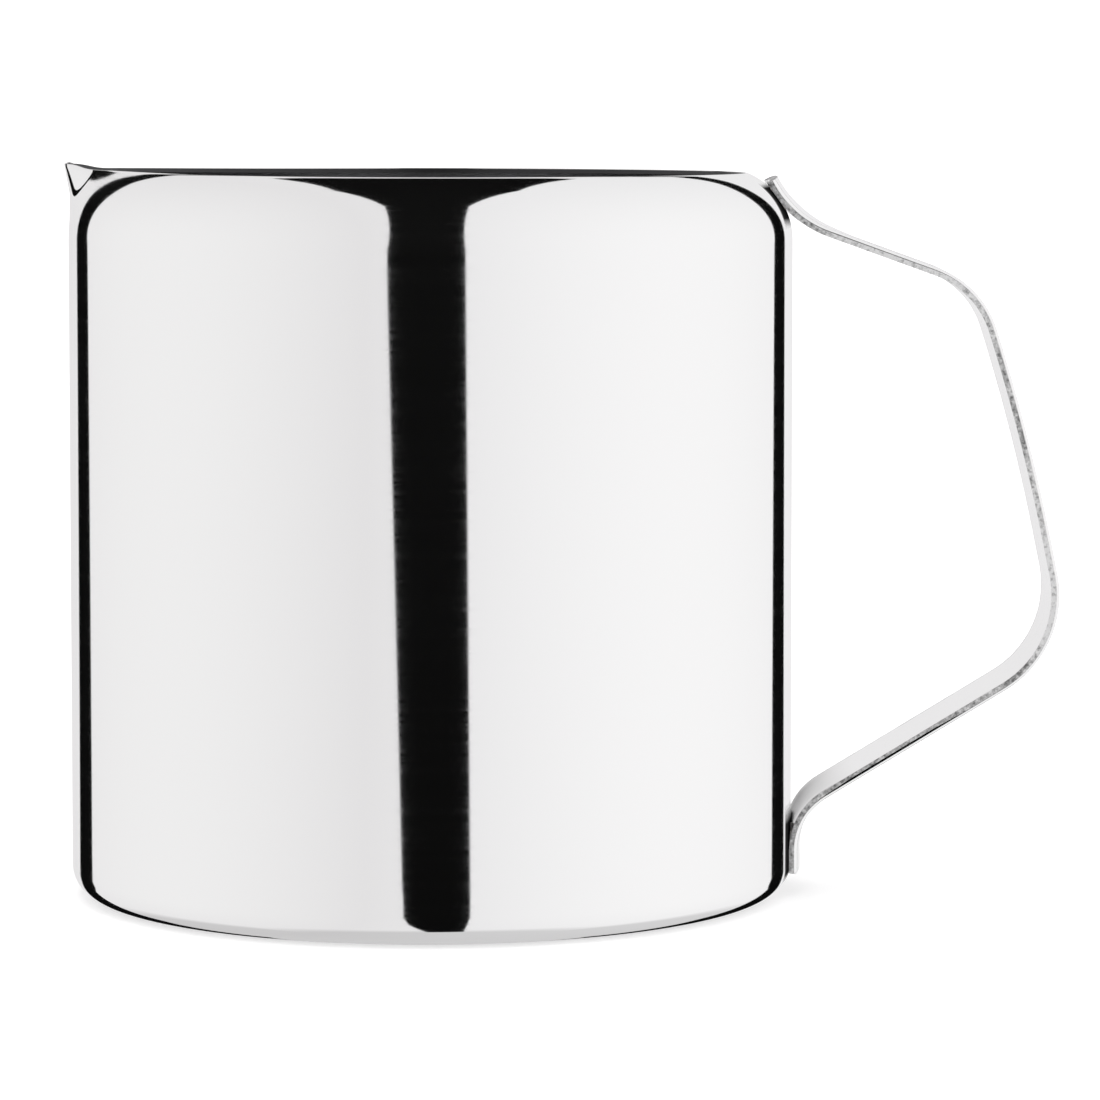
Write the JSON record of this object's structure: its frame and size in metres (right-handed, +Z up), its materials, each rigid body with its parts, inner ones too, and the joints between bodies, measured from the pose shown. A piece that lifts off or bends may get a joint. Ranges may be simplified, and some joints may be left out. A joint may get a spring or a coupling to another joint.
{
  "type": "cream jug",
  "caption": "Polished steel cream jug: a drawn cup with a turned-in shoulder, a pressed pouring beak and a spot-welded strip handle.",
  "frame": {"origin": "on the jug's axis, in the plane that it stands on", "axes": "+Z up along the jug's axis, +X towards the handle, -X towards the beak, +Y across; the XZ plane is the mirror plane"},
  "size_m": [0.0989, 0.072, 0.0729],
  "materials": {
    "polished_steel_body": "stainless steel sheet, mirror polished outside with fine polishing lines, satin inside",
    "polished_steel_strip": "stainless steel strip, polished faces with a sheared, lightly tumbled edge",
    "weld_steel": "resistance-welded stainless steel, dull grey"
  },
  "bodies": {
    "root": {"jug_body": "polished_steel_body", "handle_strip": "polished_steel_strip", "upper_weld_nuggets": "weld_steel", "lower_weld_nuggets": "weld_steel"}
  },
  "joints": []
}
